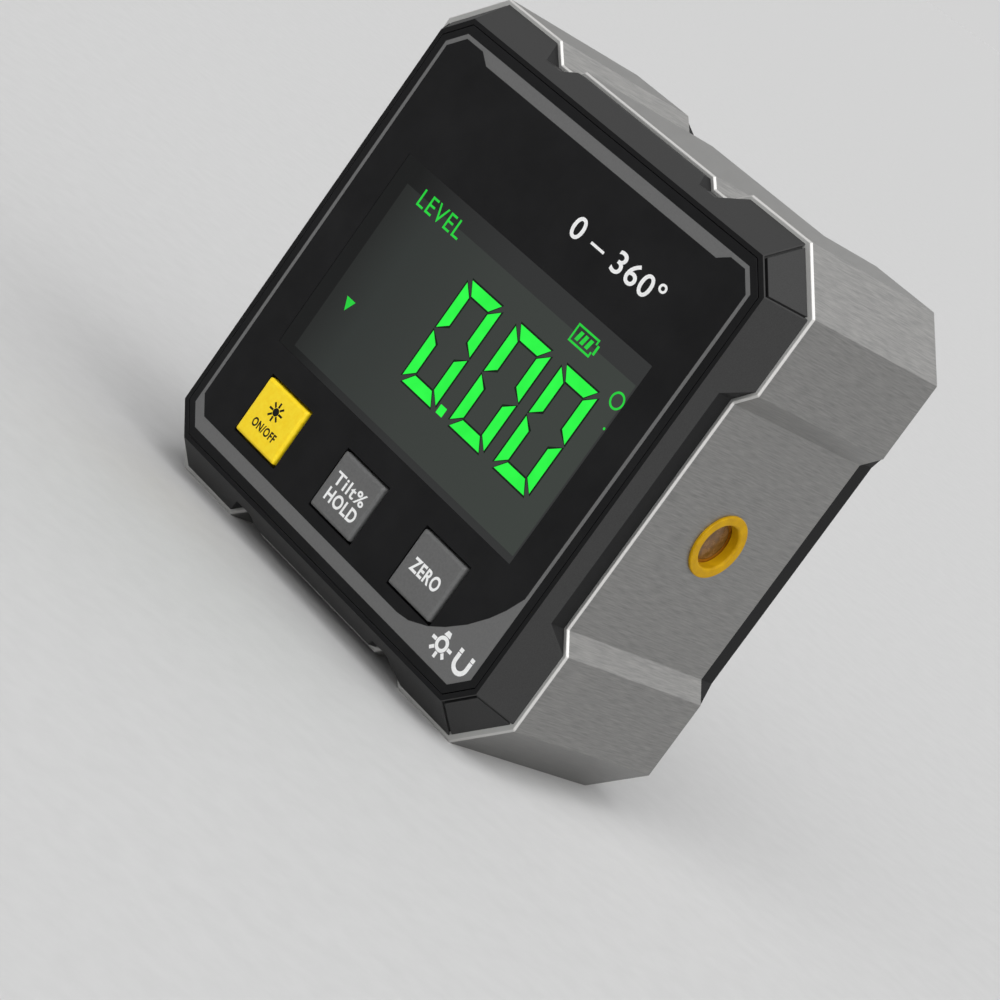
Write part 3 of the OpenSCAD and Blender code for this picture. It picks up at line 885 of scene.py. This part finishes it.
def banded_sleeve(name, node, upright):
    low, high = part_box(node)
    share = 1 - BAND_SHARE if upright else BAND_SHARE
    joint = low[2] + (high[2] - low[2]) * share
    material, tree, shader, tint = grained(
        name,
        dark="#7d8186",
        pale="#92969b",
        grain=(3.0, 3.0, 9.0),
        roughness=(0.25, 0.4),
        relief=0.004,
        Metallic=0.6,
    )[:4]
    place = add_node(tree, "ShaderNodeTexCoord", {})
    along = add_node(tree, "ShaderNodeSeparateXYZ", {"Vector": place.outputs["Object"]})
    test = "GREATER_THAN" if upright else "LESS_THAN"
    band = add_node(tree, "ShaderNodeMath", {0: along.outputs["Z"], 1: joint}, operation=test)
    printed = {0: band.outputs["Value"], 6: tint, 7: linear(BAND_DARK)}
    colour = add_node(tree, "ShaderNodeMix", printed, data_type="RGBA")
    tree.links.new(colour.outputs[2], shader.inputs["Base Color"])
    dressed(material, node)


banded_sleeve("left_foil_sleeve", "left_cell", True)
banded_sleeve("right_foil_sleeve", "right_cell", False)
dressed(nickel, "contact_plates", "contact_springs")

# Floor: a wide plain sheet of pale paper.
FLOOR_RADIUS = 40.0
floor_mesh = bpy.data.meshes.new("floor")
bm = bmesh.new()
bmesh.ops.create_circle(bm, cap_ends=True, segments=96, radius=FLOOR_RADIUS)
bm.to_mesh(floor_mesh)
bm.free()
floor = bpy.data.objects.new("floor", floor_mesh)
bpy.context.scene.collection.objects.link(floor)
# Paper: matt and pale, with a faint tooth.
paper = grained(
    "pale_paper",
    dark="#cdcdcd",
    pale="#d1d1d1",
    grain=(3.0, 3.0, 3.0),
    roughness=(0.85, 0.95),
    relief=0.01,
    Specular_IOR_Level=0.1,
)[0]
floor_mesh.materials.append(paper)

# Light: a grey studio, a soft key light from the upper right in front, and a wide soft
# light from behind and above. Camera, mirror and glass see the same backdrop: pale at
# the horizon, grey above it, and bright overhead.
STUDIO_GREY = "#999999"
BACKDROP = [
    (0.01, "#d3d3d3"),
    (0.09, "#a2a2a2"),
    (0.25, "#8c8c8c"),
    (0.45, "#c8c8c8"),
    (0.8, "#f0f0f0"),
]
world = bpy.data.worlds.new("studio")
bpy.context.scene.world = world
world.use_nodes = True
tree = world.node_tree
path = add_node(tree, "ShaderNodeLightPath", {})
clear = {0: path.outputs["Is Glossy Ray"], 1: path.outputs["Is Transmission Ray"]}
mirrored = add_node(tree, "ShaderNodeMath", clear, operation="MAXIMUM")
sighted = {0: path.outputs["Is Camera Ray"], 1: mirrored.outputs["Value"]}
watched = add_node(tree, "ShaderNodeMath", sighted, operation="MAXIMUM")
heading = add_node(tree, "ShaderNodeTexCoord", {})
height = add_node(tree, "ShaderNodeSeparateXYZ", {"Vector": heading.outputs["Generated"]})
backdrop = add_ramp(tree, height.outputs["Z"], BACKDROP)
mixed = {0: watched.outputs["Value"], 6: linear(STUDIO_GREY), 7: backdrop}
shown = add_node(tree, "ShaderNodeMix", mixed, data_type="RGBA")
tree.links.new(shown.outputs[2], tree.nodes["Background"].inputs["Color"])
tree.nodes["Background"].inputs["Strength"].default_value = 1.0


def soft_sun(name, towards, spread, strength):
    lamp = bpy.data.lights.new(name, "SUN")
    lamp.angle = math.radians(spread)
    lamp.energy = strength
    holder = bpy.data.objects.new(name, lamp)
    holder.rotation_euler = (-Vector(towards)).to_track_quat("-Z", "Y").to_euler()
    bpy.context.scene.collection.objects.link(holder)


soft_sun("key_light", towards=(0.6, -0.5, 0.68), spread=100, strength=2.9)
soft_sun("back_light", towards=(0.2, 0.78, 0.6), spread=90, strength=0.55)

# Camera: to the right of the front and a little above it, rolled as the photograph is.
bpy.context.scene.view_settings.view_transform = "Standard"
EYE = Vector((0.22333, -0.28627, 0.0851))
AIM = Vector((0.01514, -0.01545, 0.02196))
ROLL = 35.7
LENS = 128.98
back = (EYE - AIM).normalized()
level = Vector((0, 0, 1)).cross(back).normalized()
upright = back.cross(level)
turn = math.radians(ROLL)
right = level * math.cos(turn) + upright * math.sin(turn)
up = upright * math.cos(turn) - level * math.sin(turn)
view = bpy.data.cameras.new("camera")
view.lens = LENS
view.sensor_width = 36
view.clip_end = 200
camera = bpy.data.objects.new("camera", view)
camera.matrix_world = Matrix((right, up, back)).transposed().to_4x4()
camera.matrix_world.translation = EYE
bpy.context.scene.collection.objects.link(camera)
bpy.context.scene.camera = camera
